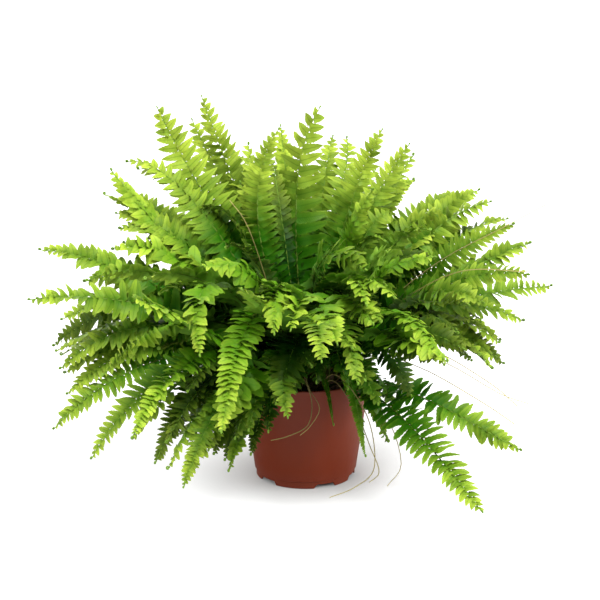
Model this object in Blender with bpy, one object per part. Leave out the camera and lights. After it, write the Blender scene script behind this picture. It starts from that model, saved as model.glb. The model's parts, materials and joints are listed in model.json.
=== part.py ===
"""Potted Boston fern: arching fronds and wiry runners on a crown in a moulded nursery pot.

Metres, +Z up. The origin is on the axis of the pot, on the surface that its foot ring stands on.
+X is to the right and +Y to the back when the fern is seen from its front.
"""

import math

import bmesh
import bpy
from mathutils import Matrix, Vector
from mathutils.bvhtree import BVHTree

MM = 0.001
CLEARANCE = 0.3 * MM  # gap that touching pieces keep

# Pot
POT_HEIGHT = 114 * MM
POT_BASE_RADIUS = 54 * MM
POT_RIM_RADIUS = 70 * MM
POT_WALL = 1.6 * MM
LIP_WIDTH = 2.6 * MM
LIP_HEIGHT = 5 * MM
FOOT_HEIGHT = 5 * MM  # free height below the raised floor
FLOOR_THICKNESS = 2 * MM
STEP_HEIGHT = 8 * MM  # the foot is stepped in below this height
STEP_DEPTH = 0.5 * MM
POT_SEGMENTS = 48
NOTCH_PAIRS = (47, 167, 287)  # degrees from the front, to the right
NOTCH_OFFSET = 24  # degrees from the middle of a pair to each notch
NOTCH_FLOOR_WIDTH = 24 * MM
NOTCH_TOP_WIDTH = 16.5 * MM
NOTCH_HEIGHT = 4.6 * MM
DRAIN_RADIUS = 4.5 * MM
DRAIN_CIRCLE = 34 * MM
DRAINS = 6

# Compost and crown
SOIL_DEPTH_BELOW_RIM = 15 * MM
CROWN_RADIUS = 43 * MM
CROWN_SEAT_DEPTH = 10 * MM
CROWN_RISE = 12 * MM

# Fronds
PLUG = 7 * MM  # length of stalk inside the crown
STALK = 1.25 * MM  # half the thickness of a stalk
RIDGE = 0.45 * MM
KEEL = 0.85 * MM
BARE_STALK = 0.14  # share of a frond's length without leaflets
STALK_STATIONS = 3
BLADE_STATIONS = 15
TOOTH = 0.66  # width between two teeth, as a share of the width at a tooth
ROOM = 0.6 * MM  # free space kept round a frond
SOCKET_ROOM = 0.45 * MM  # how much wider a socket is than its stalk, on each side

# Runners
RUNNER = 0.75 * MM
RUNNER_STATIONS = 14
RUNNER_PLUG = 3 * MM  # depth of a runner's start inside the crown

TONES = {
    "mature": (0.16, 0.36, 0.06),
    "young": (0.34, 0.56, 0.12),
    "deep": (0.06, 0.18, 0.03),
}

# Each frond: azimuth of its tip (degrees from +X, anticlockwise from above), reach of its tip from the
# axis, height of its tip, height of the curve's first and second handles, sideways bow of its middle
# (positive to the left, looking outwards), half width of its blade (all mm), roll (degrees), tone.
FRONDS = (
    # the widest and the lowest ones, which set the spread
    (-160, 295, 221, 190, 226, 0, 27, -35, "mature"),
    (20, 292, 182, 172, 186, 0, 27, 40, "mature"),
    (-87, 262, 206, 190, 262, 0, 27, 0, "mature"),
    (91, 262, 190, 200, 250, 0, 27, 0, "deep"),
    (-51, 270, 38, 146, 76, 0, 26, 20, "mature"),
    (-30, 250, 70, 140, 92, 0, 23, 30, "mature"),
    # upright
    (156, 174, 388, 205, 300, 0, 33, -65, "mature"),
    (80, 92, 385, 235, 330, 34, 34, 0, "mature"),
    (134, 164, 393, 200, 300, -6, 27, -45, "mature"),
    (76, 133, 345, 240, 330, -20, 25, 30, "mature"),
    (105, 104, 363, 215, 300, 0, 20, -20, "young"),
    (166, 208, 328, 195, 285, 0, 24, -40, "young"),
    (44, 115, 362, 220, 310, 0, 24, 40, "mature"),
    (24, 121, 352, 210, 300, 0, 24, 50, "mature"),
    (45, 169, 299, 215, 300, 0, 22, 30, "young"),
    # arching, upper left
    (156, 243, 287, 180, 268, 0, 26, -40, "mature"),
    (-174, 277, 255, 195, 268, 0, 27, -40, "mature"),
    (-165, 231, 230, 200, 262, 0, 22, 40, "young"),
    (-147, 190, 243, 200, 262, 10, 24, 45, "young"),
    # arching, upper right
    (35, 219, 290, 190, 280, 0, 26, 40, "mature"),
    (21, 206, 288, 185, 275, 0, 28, 40, "mature"),
    (10, 222, 270, 180, 262, 0, 26, 40, "mature"),
    (0, 236, 255, 175, 250, 0, 26, 35, "mature"),
    (-10, 233, 231, 175, 240, 0, 25, 30, "mature"),
    (-22, 136, 281, 200, 292, 0, 20, -60, "young"),
    # spreading, left
    (174, 274, 134, 190, 205, 0, 26, -35, "deep"),
    (-162, 262, 140, 190, 210, 0, 24, -30, "mature"),
    (-148, 247, 156, 200, 215, 0, 23, 40, "young"),
    (-118, 215, 190, 225, 300, -55, 24, 0, "young"),
    # spreading, right
    (13, 218, 112, 180, 180, 0, 24, 30, "deep"),
    (-57, 239, 184, 215, 250, 0, 24, -10, "young"),
    (-45, 150, 122, 185, 200, 0, 24, 20, "deep"),
    # over the front
    (-67, 135, 259, 235, 292, 10, 25, 0, "mature"),
    (-71, 195, 238, 220, 285, 0, 24, 0, "young"),
    (-98, 215, 218, 230, 285, -10, 25, 0, "young"),
    (-77, 215, 168, 220, 225, 0, 24, -15, "mature"),
    (-110, 234, 124, 230, 262, 0, 24, 0, "young"),
    (-99, 203, 132, 205, 215, -20, 23, 0, "mature"),
    # drooping, front left
    (-163, 272, 77, 175, 148, 0, 25, -25, "mature"),
    (-151, 248, 60, 180, 150, 0, 24, -25, "mature"),
    (-133, 248, 104, 195, 188, 0, 20, -20, "young"),
    (-138, 203, 61, 175, 150, 0, 22, -20, "deep"),
    (-125, 210, 49, 175, 150, 0, 18, -10, "mature"),
    (-126, 150, 66, 165, 140, 0, 20, -10, "deep"),
    # drooping, front right, small
    (-42, 128, 60, 165, 125, 0, 9, 0, "young"),
    # back
    (110, 240, 215, 190, 250, 0, 26, 10, "mature"),
    (60, 250, 205, 190, 245, 0, 26, -10, "mature"),
    (48, 245, 140, 185, 200, 0, 25, 10, "mature"),
    (100, 235, 90, 180, 170, 0, 25, -10, "mature"),
    (138, 240, 75, 180, 165, 0, 24, 10, "mature"),
)

# Each runner: the points that it passes, from the crown outwards (mm).
RUNNERS = (
    ((30, -8, 112), (72, -22, 150), (130, -38, 150), (190, -48, 118), (222, -52, 92)),
    ((27, -18, 112), (66, -42, 146), (120, -66, 138), (180, -84, 108), (214, -90, 86)),
    ((14, -34, 112), (34, -74, 128), (58, -90, 100), (72, -94, 66), (82, -90, 36), (72, -86, 22)),
    ((22, -28, 112), (62, -62, 136), (104, -82, 104), (114, -86, 52), (92, -84, 26), (66, -88, 12)),
    ((-4, -38, 112), (-2, -76, 130), (6, -84, 108), (2, -88, 84), (-18, -88, 72), (-36, -90, 68)),
    ((-37, -8, 112), (-88, -22, 150), (-150, -34, 174), (-206, -40, 164)),
    ((38, -4, 112), (80, -10, 178), (160, -14, 236), (244, -20, 244)),
)


# ---------------------------------------------------------------- helpers


def clear_scene():
    for obj in list(bpy.data.objects):
        bpy.data.objects.remove(obj)


def material(name, colour, roughness):
    mat = bpy.data.materials.new(name)
    mat.use_nodes = True
    shader = mat.node_tree.nodes["Principled BSDF"]
    shader.inputs["Base Color"].default_value = (*colour, 1)
    shader.inputs["Roughness"].default_value = roughness
    shader.inputs["Metallic"].default_value = 0
    return mat


def add_object(name, bm, mat, smooth=True):
    """Turn a bmesh into a named object with closed, outward-facing faces."""
    bmesh.ops.recalc_face_normals(bm, faces=bm.faces)
    mesh = bpy.data.meshes.new(name)
    bm.to_mesh(mesh)
    bm.free()
    if mat:
        mesh.materials.append(mat)
    if smooth:
        mesh.shade_smooth()
        mesh.set_sharp_from_angle(angle=math.radians(40))
    obj = bpy.data.objects.new(name, mesh)
    bpy.context.collection.objects.link(obj)
    return obj


def cut(obj, cutter):
    """Subtract a cutter, which stays in the scene as a hidden wire guide."""
    cutter.hide_render = True
    cutter.display_type = "WIRE"
    cutter.hide_set(True)
    boolean = obj.modifiers.new(cutter.name, "BOOLEAN")
    boolean.operation = "DIFFERENCE"
    boolean.solver = "EXACT"
    boolean.object = cutter


def turned(profile, closed):
    """Spin a profile of (radius, height) points round the Z axis."""
    bm = bmesh.new()
    verts = [bm.verts.new((r, 0, z)) for r, z in profile]
    edges = [bm.edges.new(pair) for pair in zip(verts, verts[1:])]
    if closed:
        edges.append(bm.edges.new((verts[-1], verts[0])))
    bmesh.ops.spin(
        bm, geom=verts + edges, axis=(0, 0, 1), cent=(0, 0, 0),
        angle=math.tau, steps=POT_SEGMENTS, use_merge=True,
    )
    bmesh.ops.remove_doubles(bm, verts=bm.verts, dist=0.01 * MM)
    return bm


# ---------------------------------------------------------------- pot, compost, crown


def wall_radius(height):
    """Outer radius of the pot's wall."""
    return POT_BASE_RADIUS + (POT_RIM_RADIUS - POT_BASE_RADIUS) * height / POT_HEIGHT


def bore_radius(height):
    """Inner radius of the pot's wall."""
    return wall_radius(height) - POT_WALL


def make_pot():
    floor_top = FOOT_HEIGHT + FLOOR_THICKNESS
    lip_bottom = POT_HEIGHT - LIP_HEIGHT
    lip_round = LIP_WIDTH / 2
    foot_outer = POT_BASE_RADIUS - STEP_DEPTH
    foot_inner = foot_outer - POT_WALL
    lip_middle = POT_RIM_RADIUS - lip_round
    profile = [
        (0, FOOT_HEIGHT),
        (foot_inner, FOOT_HEIGHT),
        (foot_inner, 0),
        (foot_outer, 0),
        (foot_outer + STEP_DEPTH / 2, STEP_HEIGHT - STEP_DEPTH),
        (wall_radius(STEP_HEIGHT), STEP_HEIGHT),
        (wall_radius(lip_bottom), lip_bottom),
    ]
    for degrees in (0, 45, 90, 135, 180):
        angle = math.radians(degrees)
        profile.append((
            lip_middle + lip_round * math.cos(angle),
            POT_HEIGHT - lip_round + lip_round * math.sin(angle),
        ))
    profile += [
        (bore_radius(lip_bottom), lip_bottom),
        (bore_radius(floor_top), floor_top),
        (0, floor_top),
    ]
    pot = add_object("pot", turned(profile, closed=True), material("pot_plastic", (0.14, 0.035, 0.02), 0.35))
    cut(pot, make_notch_cutter())
    cut(pot, make_drain_cutter())
    return pot


def make_notch_cutter():
    """Six trapezoid prisms through the foot ring, in three pairs."""
    bm = bmesh.new()
    low, high = -2 * MM, NOTCH_HEIGHT
    widen = (NOTCH_FLOOR_WIDTH - NOTCH_TOP_WIDTH) / 2 / NOTCH_HEIGHT
    half_low = NOTCH_TOP_WIDTH / 2 + widen * (high - low)
    half_high = NOTCH_TOP_WIDTH / 2
    inner, outer = POT_BASE_RADIUS - 8 * MM, POT_BASE_RADIUS + 6 * MM
    for middle in NOTCH_PAIRS:
        for side in (-NOTCH_OFFSET, NOTCH_OFFSET):
            turn = Matrix.Rotation(math.radians(middle + side - 90), 4, "Z")
            outline = ((-half_low, low), (half_low, low), (half_high, high), (-half_high, high))
            face = bm.faces.new([bm.verts.new(turn @ Vector((inner, y, z))) for y, z in outline])
            grown = bmesh.ops.extrude_face_region(bm, geom=[face])
            verts = [item for item in grown["geom"] if isinstance(item, bmesh.types.BMVert)]
            bmesh.ops.translate(bm, verts=verts, vec=turn @ Vector((outer - inner, 0, 0)))
    return add_object("notch_cutter", bm, None, smooth=False)


def make_drain_cutter():
    bm = bmesh.new()
    places = [(0, 0)]
    for index in range(DRAINS):
        angle = math.tau * index / DRAINS
        places.append((DRAIN_CIRCLE * math.cos(angle), DRAIN_CIRCLE * math.sin(angle)))
    for x, y in places:
        bmesh.ops.create_cone(
            bm, cap_ends=True, segments=12, radius1=DRAIN_RADIUS, radius2=DRAIN_RADIUS,
            depth=FLOOR_THICKNESS * 2, matrix=Matrix.Translation((x, y, FOOT_HEIGHT + FLOOR_THICKNESS / 2)),
        )
    return add_object("drain_cutter", bm, None, smooth=False)


def soil_top():
    return POT_HEIGHT - SOIL_DEPTH_BELOW_RIM


def make_soil():
    """Compost with an uneven surface and a seat for the crown."""
    bottom = FOOT_HEIGHT + FLOOR_THICKNESS + CLEARANCE
    top = soil_top()
    seat = CROWN_RADIUS + CLEARANCE
    profile = [
        (0, bottom),
        (bore_radius(bottom) - CLEARANCE, bottom),
        (bore_radius(top) - CLEARANCE, top),
        (bore_radius(top) - 7 * MM, top + 1 * MM),
        (seat + 7 * MM, top + 3 * MM),
        (seat, top + 2 * MM),
        (seat, top - CROWN_SEAT_DEPTH),
        (0, top - CROWN_SEAT_DEPTH),
    ]
    bm = turned(profile, closed=True)
    for vert in bm.verts:
        radius = math.hypot(vert.co.x, vert.co.y)
        if vert.co.z > top and radius > seat + 1 * MM:
            angle = math.atan2(vert.co.y, vert.co.x)
            vert.co.z += 0.8 * MM * math.sin(7 * angle + 300 * radius)
    return add_object("soil", bm, material("compost", (0.02, 0.013, 0.009), 0.95))


def crown_height(radius):
    """Height of the crown's domed surface."""
    share = min(radius / CROWN_RADIUS, 1)
    return soil_top() + 3 * MM + CROWN_RISE * (1 - share ** 2)


def make_crown():
    bottom = soil_top() - CROWN_SEAT_DEPTH + CLEARANCE
    rings = [(CROWN_RADIUS * share, crown_height(CROWN_RADIUS * share)) for share in (1, 0.8, 0.55, 0.3, 0)]
    profile = [(0, bottom), (CROWN_RADIUS, bottom)] + rings
    bm = turned(profile, closed=True)
    for vert in bm.verts:
        radius = math.hypot(vert.co.x, vert.co.y)
        if vert.co.z > bottom and radius < 0.9 * CROWN_RADIUS:
            angle = math.atan2(vert.co.y, vert.co.x)
            vert.co.z += 0.7 * MM * math.sin(5 * angle + 400 * radius)
    return add_object("crown", bm, material("rhizome", (0.07, 0.045, 0.02), 0.85))


# ---------------------------------------------------------------- fronds and runners


def bezier(points, t):
    a, b, c, d = points
    s = 1 - t
    return a * s ** 3 + b * 3 * s ** 2 * t + c * 3 * s * t ** 2 + d * t ** 3


def frond_curve(row, number):
    """The four control points of a frond's midrib, from its plug in the crown to its tip."""
    azimuth, reach, tip, lift, crest, bow = row[:6]
    outward = Matrix.Rotation(math.radians(azimuth), 3, "Z") @ Vector((1, 0, 0))
    left = Vector((-outward.y, outward.x, 0))
    root = (7 + 28 * (1 - tip / 393) + 4 * (number % 2)) * MM
    start = outward * root + Vector((0, 0, crown_height(root)))
    end = outward * reach * MM + Vector((0, 0, tip * MM))
    span = (reach * MM - root) * outward
    first = start + span * 0.22 + left * bow * MM * 0.5
    first.z = lift * MM
    second = start + span * 0.72 + left * bow * MM
    second.z = crest * MM
    start = start - (first - start).normalized() * PLUG
    return start, first, second, end


def blade_width(share):
    """Half width along the blade, from its lowest leaflets (0) to its tip (1)."""
    swell = 0.3 + 0.7 * math.sin(min(share / 0.42, 1) * math.pi / 2)
    return swell * (1 - share ** 2.6)


def ring(centre, along, side, half, ridge, keel):
    up = along.cross(side).normalized()
    return centre + side * half, centre + up * ridge, centre - side * half, centre - up * keel


def skinned(rings, start, end):
    """Closed tube through rings of four, with a point at each end."""
    bm = bmesh.new()
    rows = [[bm.verts.new(co) for co in places] for places in rings]
    for lower, upper in zip(rows, rows[1:]):
        for index in range(4):
            following = (index + 1) % 4
            bm.faces.new((lower[index], lower[following], upper[following], upper[index]))
    for point, row in ((start, rows[0]), (end, rows[-1])):
        apex = bm.verts.new(point)
        for index in range(4):
            bm.faces.new((apex, row[index], row[(index + 1) % 4]))
    bmesh.ops.triangulate(bm, faces=[face for face in bm.faces if len(face.verts) == 4])
    bmesh.ops.recalc_face_normals(bm, faces=bm.faces)
    return bm


def frond_rings(row, number, grown=0.0):
    """Cross-sections of a frond, each with its centre, from inside the crown to near its tip."""
    azimuth, half, roll = row[0], row[6] * MM, math.radians(row[7])
    curve = frond_curve(row, number)
    across = Matrix.Rotation(math.radians(azimuth + 90), 3, "Z") @ Vector((1, 0, 0))
    shares = [BARE_STALK * (0.06 + 0.94 * index / (STALK_STATIONS - 1)) for index in range(STALK_STATIONS)]
    shares += [
        BARE_STALK + (1 - BARE_STALK) * (index + 1) / (BLADE_STATIONS + 1) for index in range(BLADE_STATIONS)
    ]
    sections = []
    for share in shares:
        centre = bezier(curve, share)
        along = (bezier(curve, share + 0.01) - bezier(curve, share - 0.01)).normalized()
        side = (across - along * across.dot(along)).normalized()
        side = Matrix.Rotation(roll * min(share / 0.5, 1), 3, along) @ side
        width = STALK
        if share > BARE_STALK:
            blade = (share - BARE_STALK) / (1 - BARE_STALK)
            tooth = 1 if len(sections) % 2 else TOOTH
            width = max(half * blade_width(blade) * tooth, RIDGE)
        slender = max(1 - share, 0.35)
        ridge = max(RIDGE, STALK * slender) + grown
        keel = max(KEEL, STALK * slender) + grown
        sections.append((centre, ring(centre, along, side, width + grown, ridge, keel)))
    return sections


def just_before(sections):
    """Point a little behind the first cross-section, to close a shortened solid."""
    return sections[0][0].lerp(sections[1][0], -0.01)


def frond_mesh(row, number, grown=0.0, skip=0):
    """A frond as one solid leaf with a toothed edge, a rib above and a keel below."""
    sections = frond_rings(row, number, grown)[skip:]
    curve = frond_curve(row, number)
    start = bezier(curve, 0) if skip == 0 else just_before(sections)
    return skinned([corners for _, corners in sections], start, bezier(curve, 1))


def runner_curve(points, t, turn, lift):
    """Smooth curve through the points of a runner (Catmull-Rom), turned about the axis and lifted."""
    points = [Vector(point) * MM for point in points]
    root = points[0].to_2d().length
    points[0].z = crown_height(root) - RUNNER_PLUG
    points = [2 * points[0] - points[1]] + points + [2 * points[-1] - points[-2]]
    place = t * (len(points) - 3)
    index = min(int(place), len(points) - 4)
    u = place - index
    a, b, c, d = points[index:index + 4]
    curved = 2 * b + (c - a) * u + (2 * a - 5 * b + 4 * c - d) * u ** 2 + (3 * b - a - 3 * c + d) * u ** 3
    return Matrix.Rotation(math.radians(turn), 3, "Z") @ (curved / 2) + Vector((0, 0, lift * MM * t))


def runner_rings(points, grown=0.0, turn=0, lift=0):
    sections = []
    for index in range(RUNNER_STATIONS):
        share = 0.02 + 0.96 * index / (RUNNER_STATIONS - 1)
        centre = runner_curve(points, share, turn, lift)
        ahead = runner_curve(points, share + 0.01, turn, lift)
        behind = runner_curve(points, share - 0.01, turn, lift)
        along = (ahead - behind).normalized()
        side = along.cross(Vector((0.3, 0.2, 1))).normalized()
        half = RUNNER + grown
        sections.append((centre, ring(centre, along, side, half, half, half)))
    return sections


def runner_mesh(points, grown=0.0, turn=0, lift=0, skip=0):
    """A wiry runner, pointed at both ends."""
    sections = runner_rings(points, grown, turn, lift)[skip:]
    start = runner_curve(points, 0, turn, lift) if skip == 0 else just_before(sections)
    return skinned([corners for _, corners in sections], start, runner_curve(points, 1, turn, lift))


def clear_of(bm, others):
    found = BVHTree.FromBMesh(bm)
    bm.free()
    return not any(found.overlap(other) for other in others)


def frond_moves():
    """Small turns (degrees), lifts (mm) and rolls (degrees) to try, nearest first."""
    moves = []
    for turn in range(-20, 21, 2):
        for lift in range(-36, 37, 6):
            for roll in range(-45, 46, 15):
                moves.append((abs(turn) * 3 + abs(lift) + abs(roll) * 0.6, turn, lift, roll))
    return [move[1:] for move in sorted(moves)]


def settle_frond(row, number, fixed, grown):
    """Turn, lift and roll a frond a little until it is clear of the pot and of the fronds already there."""
    for turn, lift, roll in frond_moves():
        azimuth, reach, tip, first, second, bow, half, tilt, tone = row
        trial = (azimuth + turn, reach, tip, first + lift, second + lift, bow, half, tilt + roll, tone)
        if not clear_of(frond_mesh(trial, number, ROOM), grown):
            continue
        if clear_of(frond_mesh(trial, number, ROOM, skip=1), fixed):
            return trial
    return None


def settle_runner(points, fixed, grown):
    """Turn and lift a runner a little until it is clear of the pot and of the fronds."""
    moves = [(turn, lift) for turn in range(-30, 31, 2) for lift in range(-36, 37, 6)]
    for turn, lift in sorted(moves, key=lambda move: abs(move[0]) + abs(move[1])):
        if not clear_of(runner_mesh(points, ROOM, turn, lift), grown):
            continue
        if clear_of(runner_mesh(points, ROOM, turn, lift, skip=2), fixed):
            return turn, lift
    return None


def make_socket_cutter(stalks):
    """The start of every stalk, a little thicker, to cut its socket in the crown."""
    bm = bmesh.new()
    for start, sections in stalks:
        near, far = sections[0][0], sections[1][0]
        along = (near - start).normalized()
        end = far + (far - near).normalized() * CLEARANCE
        pin = skinned([corners for _, corners in sections[:2]], start - along * 2 * CLEARANCE, end)
        mesh = bpy.data.meshes.new("pin")
        pin.to_mesh(mesh)
        pin.free()
        bm.from_mesh(mesh)
    return add_object("socket_cutter", bm, None, smooth=False)


def evaluated_tree(obj):
    graph = bpy.context.evaluated_depsgraph_get()
    return BVHTree.FromObject(obj, graph)


def make_plant(pot, soil, crown):
    fixed = [evaluated_tree(pot), evaluated_tree(soil), evaluated_tree(crown)]
    leaf = {tone: material(f"leaf_{tone}", colour, 0.5) for tone, colour in TONES.items()}
    wire = material("runner", (0.2, 0.22, 0.06), 0.6)
    grown, stalks = [], []
    for number, row in enumerate(FRONDS, start=1):
        placed = settle_frond(row, number, fixed, grown)
        if placed is None:
            raise RuntimeError(f"no room for frond {number}")
        bm = frond_mesh(placed, number)
        grown.append(BVHTree.FromBMesh(bm))
        add_object(f"frond_{number:02d}", bm, leaf[row[-1]], smooth=False)
        stalks.append((frond_curve(placed, number)[0], frond_rings(placed, number, SOCKET_ROOM)))
    for number, points in enumerate(RUNNERS, start=1):
        placed = settle_runner(points, fixed, grown)
        if placed is None:
            raise RuntimeError(f"no room for runner {number}")
        bm = runner_mesh(points, 0.0, *placed)
        grown.append(BVHTree.FromBMesh(bm))
        add_object(f"stolon_{number}", bm, wire, smooth=False)
        stalks.append((runner_curve(points, 0, *placed), runner_rings(points, SOCKET_ROOM, *placed)))
    cut(crown, make_socket_cutter(stalks))


def main():
    clear_scene()
    pot = make_pot()
    soil = make_soil()
    crown = make_crown()
    make_plant(pot, soil, crown)


main()
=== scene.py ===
"""A potted sword fern in full detail, grown over its packed construction model.

Every leaf follows the centre line, width and facing of its own frond solid, and the pot, compost, crown
and runners take their sizes from the solids that they stand for. Metres, +Z up.
"""

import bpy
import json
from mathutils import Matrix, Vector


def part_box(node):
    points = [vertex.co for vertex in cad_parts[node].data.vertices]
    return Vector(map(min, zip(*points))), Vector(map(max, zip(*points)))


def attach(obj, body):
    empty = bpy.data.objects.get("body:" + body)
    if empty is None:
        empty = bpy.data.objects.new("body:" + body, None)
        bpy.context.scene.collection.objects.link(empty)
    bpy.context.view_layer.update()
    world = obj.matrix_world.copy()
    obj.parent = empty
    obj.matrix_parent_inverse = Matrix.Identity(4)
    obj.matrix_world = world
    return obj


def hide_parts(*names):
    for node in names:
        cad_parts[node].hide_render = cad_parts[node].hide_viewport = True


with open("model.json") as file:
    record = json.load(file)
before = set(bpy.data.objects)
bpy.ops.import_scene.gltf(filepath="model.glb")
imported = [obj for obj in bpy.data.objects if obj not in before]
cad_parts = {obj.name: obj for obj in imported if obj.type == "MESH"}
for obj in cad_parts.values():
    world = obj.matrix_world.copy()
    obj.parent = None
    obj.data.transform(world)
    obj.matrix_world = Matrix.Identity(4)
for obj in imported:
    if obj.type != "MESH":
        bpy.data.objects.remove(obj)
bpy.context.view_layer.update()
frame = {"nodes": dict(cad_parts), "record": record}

import json
import math
import random

import bmesh
import bpy
import numpy as np
from bpy.props import FloatProperty, FloatVectorProperty, IntProperty, PointerProperty
from mathutils import Matrix, Vector, noise

bl_info = {
    "name": "Potted Sword Fern",
    "version": (1, 0, 0),
    "blender": (4, 5, 0),
    "location": "3D View > Sidebar > Fern",
    "description": "Grows a potted sword fern over its construction model",
    "category": "Add Mesh",
}

MM = 0.001
BODY = "root"
PAINTED_SHADE_CENTRE = (0.0, -0.06, 0.17)  # centre of the painted shade in the heart of the plant, the darkest place
POT_BASE = 54 * MM  # outer radius of the pot at the floor
SOIL_DROP = 15 * MM  # from the lip down to the compost
NOTCH_PAIRS = (47, 167, 287)  # middles of the pairs of drainage notches (degrees from the front)
NOTCH_OFFSET = 24  # from the middle of a pair to each of its notches
NOTCH_HALF, NOTCH_SLOPE = 13.0, 3.0  # half a notch, and its sloping end
UNDERSIDE_TINT = (0.20, 0.36, 0.06)
DUST, DUST_GREY = 0.25, 0.25  # share and brightness of the dust on the pot
POT_LOW, POT_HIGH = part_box("pot")
SOIL_LOW, SOIL_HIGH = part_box("soil")
CROWN_LOW, CROWN_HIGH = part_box("crown")
SLOTS = {part["node"]: part["material_slot"] for part in frame["record"]["subparts"]}
FRONDS = sorted(name for name in frame["nodes"] if name.startswith("frond_"))
STOLONS = sorted(name for name in frame["nodes"] if name.startswith("stolon_"))


# ---------------------------------------------------------------- settings


def colour(name, description, default):
    return FloatVectorProperty(
        name=name, description=description, subtype="COLOR", size=3, min=0, max=1, default=default
    )


def length(name, description, default):
    return FloatProperty(
        name=name, description=description, default=default, min=0, unit="LENGTH", precision=4
    )


def amount(name, description, default, low=0.0, high=10.0):
    return FloatProperty(name=name, description=description, default=default, min=low, max=high)


class FernPotSettings(bpy.types.PropertyGroup):
    plastic: colour("Plastic", "Colour of the moulded pot", (0.222, 0.032, 0.009))
    wall: length("Wall", "Thickness of the pot's wall", 0.0016)
    lip: length("Lip", "Thickness of the pot's rolled lip", 0.0026)
    foot: length("Foot", "Free height under the pot's floor", 0.005)
    compost: colour("Compost", "Colour of the compost", (0.017, 0.011, 0.007))


class FernLeafSettings(bpy.types.PropertyGroup):
    spacing: amount("Spacing", "Distance between leaflets as a share of the half width", 0.29, 0.1)
    fullness: amount("Fullness", "Leaflet width as a share of the distance between leaflets", 1.0, 0.2)
    stalk: length("Stalk", "Radius of a stalk where it leaves the crown", 0.00115)
    inner_leaves: IntProperty(
        name="Inner leaves", description="Leaves that fill the heart", default=60, min=0
    )
    reach: amount("Reach", "Leaflet length as a share of the solid's half width", 1.2, 0.5, 1.5)
    mature: colour("Mature", "Colour of a mature leaf", (0.024, 0.130, 0.002))
    young: colour("Young", "Colour of a young leaf", (0.075, 0.240, 0.003))
    # Deep: the darker colour of old leaves, and also painted shade for the leaves set inside and low in the
    # plant
    deep: colour("Deep", "Colour of an old leaf", (0.006, 0.052, 0.002))
    fresh: colour("Fresh", "Colour of the growing ends of all leaves", (0.540, 0.660, 0.065))
    stem: colour("Stem", "Colour of stalks and midribs", (0.075, 0.140, 0.014))


class FernRunnerSettings(bpy.types.PropertyGroup):
    radius: length("Radius", "Radius of a runner", 0.0006)
    skin: colour("Skin", "Colour of the runners", (0.240, 0.200, 0.070))


class FernStageSettings(bpy.types.PropertyGroup):
    floor: colour("Floor", "Colour of the floor", (0.5, 0.5, 0.5))
    # Glow: emission that only the camera sees, which keeps the floor evenly white; near the pot it is turned
    # down as a painted shadow
    glow: amount("Floor glow", "Light that the paper floor lets through", 0.8)
    sky: amount("Surround", "Strength of the surrounding light", 0.11)
    key: amount("Key light", "Strength of the main light", 5.1)
    side: amount("Side light", "Strength of the low side light", 2.6)
    fill: amount("Fill light", "Strength of the fill light", 2.0)
    back: amount("Back light", "Strength of the light from behind", 1.6)


# ---------------------------------------------------------------- shader helpers


def new_material(name, roughness, **plain):
    """A Principled material, with its plain socket values set."""
    material = bpy.data.materials.new(name)
    material.use_nodes = True
    shader = material.node_tree.nodes["Principled BSDF"]
    shader.inputs["Roughness"].default_value = roughness
    for socket, value in plain.items():
        shader.inputs[socket.replace("_", " ").title().replace("Ior", "IOR")].default_value = value
    return material, shader


class Nodes:
    """Short ways to add nodes to one tree. Any value may be a plain one or the output of a node."""

    def __init__(self, tree):
        self.tree = tree

    def feed(self, socket, value):
        """Link an output to a socket, or set the socket's own value."""
        if isinstance(value, bpy.types.NodeSocket):
            self.tree.links.new(value, socket)
        else:
            socket.default_value = value

    def put(self, kind, inputs=(), **settings):
        """A new node, with its settings and its inputs."""
        node = self.tree.nodes.new(kind)
        for key, value in settings.items():
            setattr(node, key, value)
        for socket, value in dict(inputs).items():
            self.feed(node.inputs[socket], value)
        return node

    def maths(self, operation, *values):
        """The result of one Math node."""
        return self.put("ShaderNodeMath", enumerate(values), operation=operation).outputs[0]

    def mix(self, factor, first, second):
        """The first colour, turned into the second by a factor."""
        node = self.put("ShaderNodeMix", {0: factor}, data_type="RGBA")
        for socket, value in ((node.inputs[6], first), (node.inputs[7], second)):
            self.feed(socket, (*value, 1) if isinstance(value, tuple) else value)
        return node.outputs[2]

    def attribute(self, name):
        """A number that each vertex of the piece carries."""
        return self.put("ShaderNodeAttribute", attribute_name=name).outputs["Fac"]

    def spot(self):
        """The place on the piece, in its own coordinates."""
        return self.put("ShaderNodeTexCoord").outputs["Object"]

    def height(self):
        """The height of that place."""
        return self.put("ShaderNodeSeparateXYZ", {"Vector": self.spot()}).outputs["Z"]

    def span(self, value, low, high, to_low=0.0, to_high=1.0):
        """A value mapped from one range to another and clamped to it."""
        inputs = {"Value": value, "From Min": low, "From Max": high, "To Min": to_low, "To Max": to_high}
        return self.put("ShaderNodeMapRange", inputs).outputs[0]

    def noise(self, scale, detail, vector=None):
        """Noise over the piece, or over the vector given."""
        inputs = {"Scale": scale, "Detail": detail, "Vector": vector or self.spot()}
        return self.put("ShaderNodeTexNoise", inputs).outputs["Fac"]


def mottle_group():
    """Soft patches and fine grain over a surface, as two masks."""
    tree = bpy.data.node_groups.new("surface_mottle", "ShaderNodeTree")
    tree.interface.new_socket("Patch size", in_out="INPUT", socket_type="NodeSocketFloat")
    tree.interface.new_socket("Grain size", in_out="INPUT", socket_type="NodeSocketFloat")
    tree.interface.new_socket("Patches", in_out="OUTPUT", socket_type="NodeSocketFloat")
    tree.interface.new_socket("Grain", in_out="OUTPUT", socket_type="NodeSocketFloat")
    nodes = Nodes(tree)
    given = nodes.put("NodeGroupInput")
    out = nodes.put("NodeGroupOutput")
    patches = nodes.noise(given.outputs["Patch size"], 2.0)
    grain = nodes.noise(given.outputs["Grain size"], 4.0)
    tree.links.new(nodes.span(patches, 0.3, 0.7), out.inputs["Patches"])
    tree.links.new(grain, out.inputs["Grain"])
    return tree


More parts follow.
